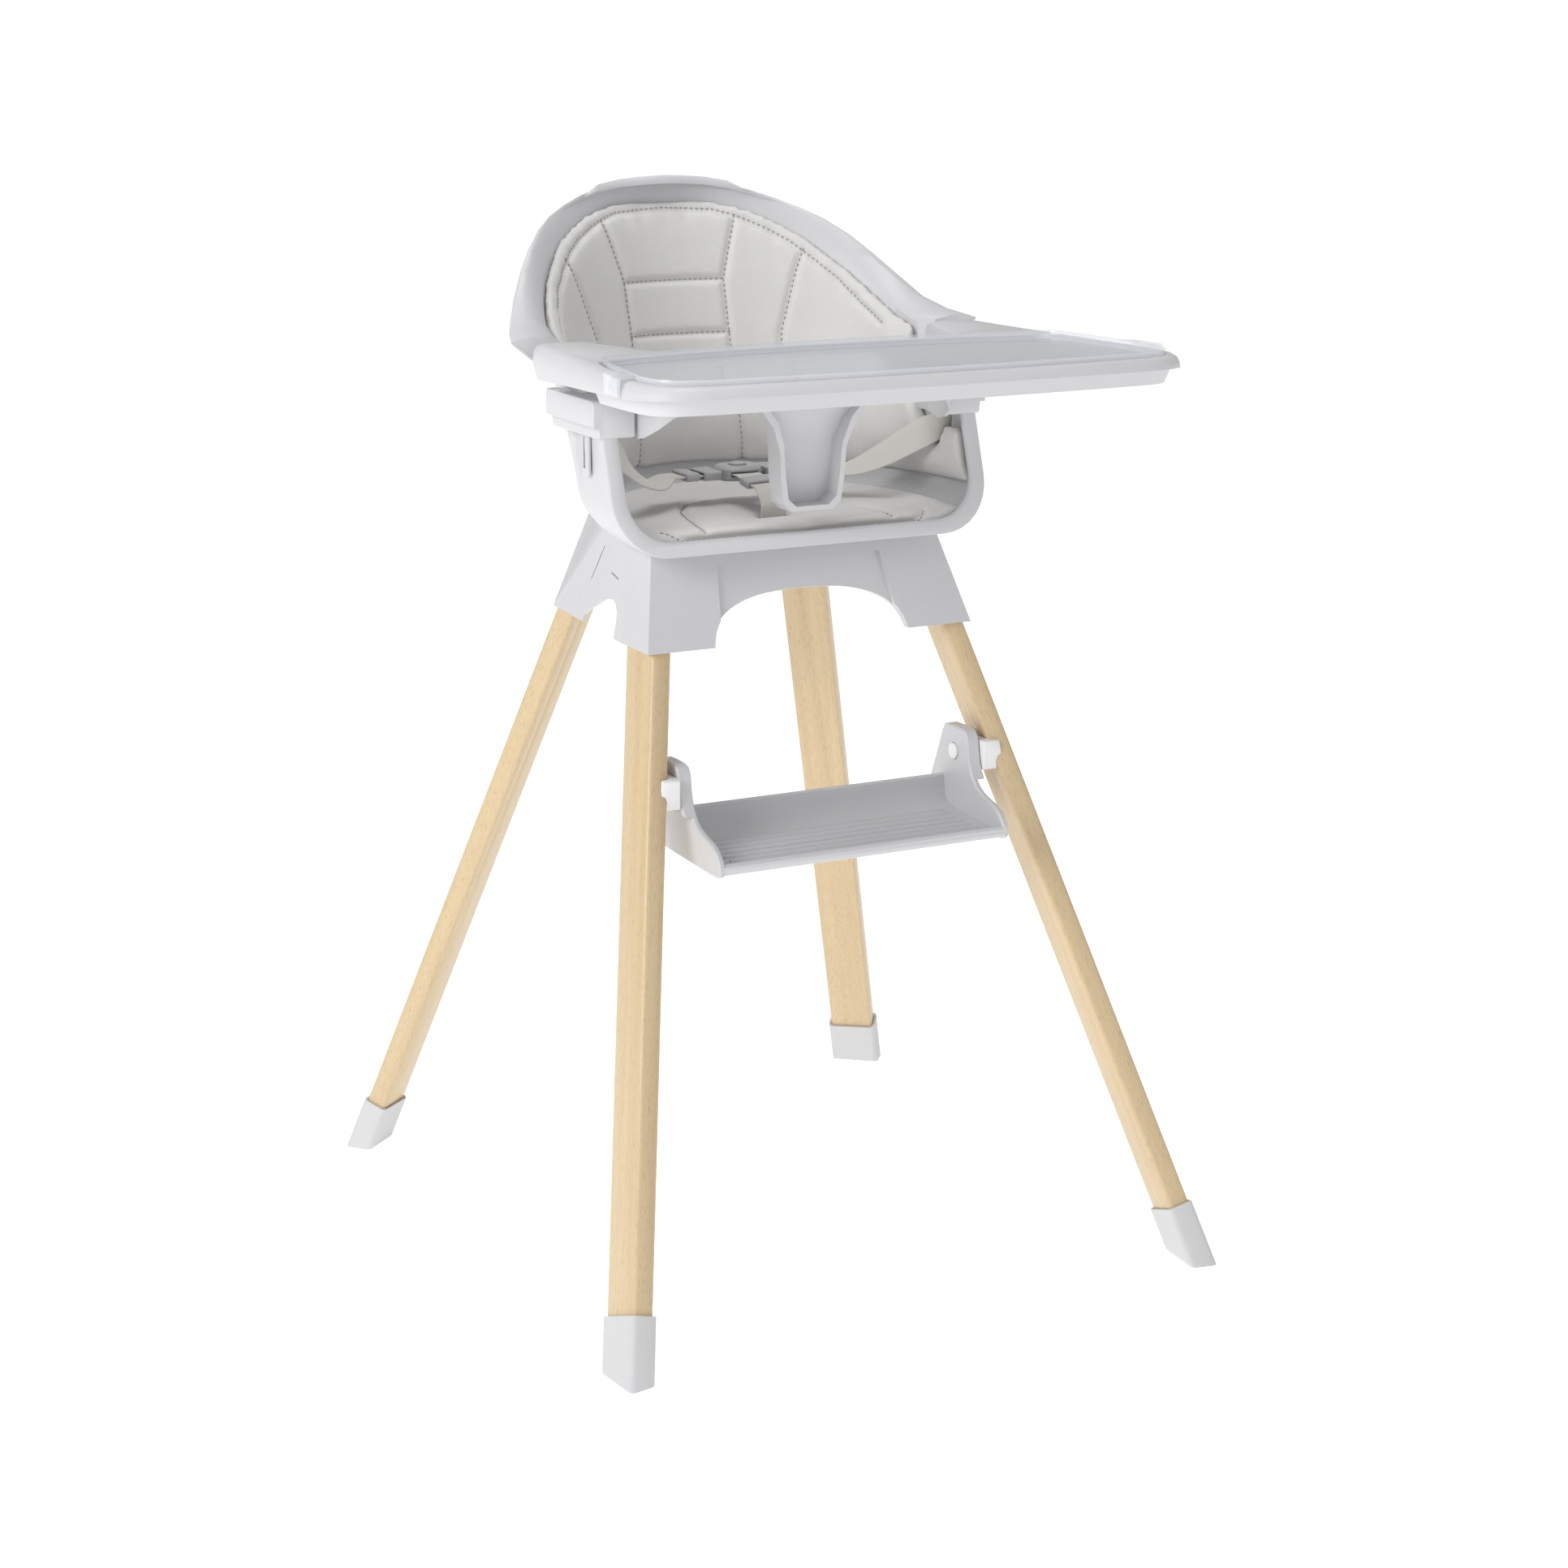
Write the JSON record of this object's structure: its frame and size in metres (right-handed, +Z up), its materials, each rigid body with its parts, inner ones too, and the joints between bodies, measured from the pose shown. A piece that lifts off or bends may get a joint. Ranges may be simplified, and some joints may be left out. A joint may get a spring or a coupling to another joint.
{
  "type": "baby high chair",
  "caption": "Baby high chair: padded bucket seat on splayed wooden legs, with a clip-on tray, a lap harness and a tilting footrest.",
  "frame": {"origin": "floor, at the centre of the feet's rectangle", "axes": "+Z up, +X to the right seen from the front camera side, -Y the way the child faces"},
  "size_m": [0.5888, 0.6463, 0.9188],
  "materials": {
    "beech": "clear satin lacquer on beech",
    "foot_grey": "matte",
    "shell_plastic": "fine satin moulding",
    "white_plastic": "gloss",
    "clear_plastic": "clear, faintly blue",
    "leatherette": "fine grain leatherette",
    "webbing": "woven webbing",
    "grey_plastic": "satin",
    "steel": "zinc plated"
  },
  "bodies": {
    "chair": {"leg_front_left": "beech", "leg_front_right": "beech", "leg_rear_left": "beech", "leg_rear_right": "beech", "foot_cap_front_left": "foot_grey", "foot_cap_front_right": "foot_grey", "foot_cap_rear_left": "foot_grey", "foot_cap_rear_right": "foot_grey", "seat_shell": "shell_plastic", "leg_hub": "shell_plastic", "strap_anchor_left": "shell_plastic", "strap_anchor_right": "shell_plastic", "footrest_bracket_left": "white_plastic", "footrest_bracket_right": "white_plastic", "back_cushion": "leatherette", "seat_cushion": "leatherette", "waist_strap_left": "webbing", "waist_strap_right": "webbing", "crotch_strap": "webbing", "buckle_body": "grey_plastic", "buckle_tongue_left": "grey_plastic", "buckle_tongue_right": "grey_plastic", "waist_adjuster_left": "grey_plastic", "waist_adjuster_right": "grey_plastic", "crotch_adjuster": "grey_plastic", "buckle_spring": "steel", "leg_screw_front_left": "steel", "leg_screw_front_right": "steel", "leg_screw_rear_left": "steel", "leg_screw_rear_right": "steel", "seat_screw_1": "steel", "seat_screw_2": "steel", "seat_screw_3": "steel", "seat_screw_4": "steel"},
    "tray": {"tray_base": "shell_plastic", "crotch_post": "shell_plastic"},
    "tray_liner": {"tray_insert": "clear_plastic"},
    "latch_left": {"tray_latch_left": "shell_plastic"},
    "latch_right": {"tray_latch_right": "shell_plastic"},
    "footrest": {"footrest_plate": "shell_plastic", "footrest_spring_left": "steel", "footrest_spring_right": "steel"},
    "pin_button_left": {"footrest_button_left": "white_plastic"},
    "pin_button_right": {"footrest_button_right": "white_plastic"},
    "harness_button": {"buckle_button": "grey_plastic"},
    "seat_lever": {"release_lever": "shell_plastic"}
  },
  "joints": [
    {"name": "tray_slide", "type": "slide", "parent": "chair", "child": "tray", "axis": [0, -1, 0], "range_m": [0, 0.16]},
    {"name": "liner_lift", "type": "slide", "parent": "tray", "child": "tray_liner", "axis": [0, 0, 1], "range_m": [0, 0.1]},
    {"name": "latch_left_press", "type": "slide", "parent": "tray", "child": "latch_left", "axis": [1, 0, 0], "range_m": [0, 0.003], "stiffness_N_per_m": 600},
    {"name": "latch_right_press", "type": "slide", "parent": "tray", "child": "latch_right", "axis": [-1, 0, 0], "range_m": [0, 0.003], "stiffness_N_per_m": 600},
    {"name": "footrest_tilt", "type": "hinge", "parent": "chair", "child": "footrest", "pos_m": [0, -0.1057, 0.4351], "axis": [-1, 0, 0], "range_deg": [0, 60]},
    {"name": "footrest_button_left_press", "type": "slide", "parent": "footrest", "child": "pin_button_left", "axis": [-1, 0, 0], "range_m": [0, 0.0014], "stiffness_N_per_m": 500},
    {"name": "footrest_button_right_press", "type": "slide", "parent": "footrest", "child": "pin_button_right", "axis": [1, 0, 0], "range_m": [0, 0.0014], "stiffness_N_per_m": 500},
    {"name": "buckle_press", "type": "slide", "parent": "chair", "child": "harness_button", "axis": [0, 0, -1], "range_m": [0, 0.0025], "stiffness_N_per_m": 500, "deforming": ["buckle_spring"]},
    {"name": "seat_lever_pull", "type": "hinge", "parent": "chair", "child": "seat_lever", "pos_m": [0.072, 0.0895, 0.61], "axis": [1, 0, 0], "range_deg": [0, 12], "stiffness_Nm_per_rad": 0.08}
  ]
}
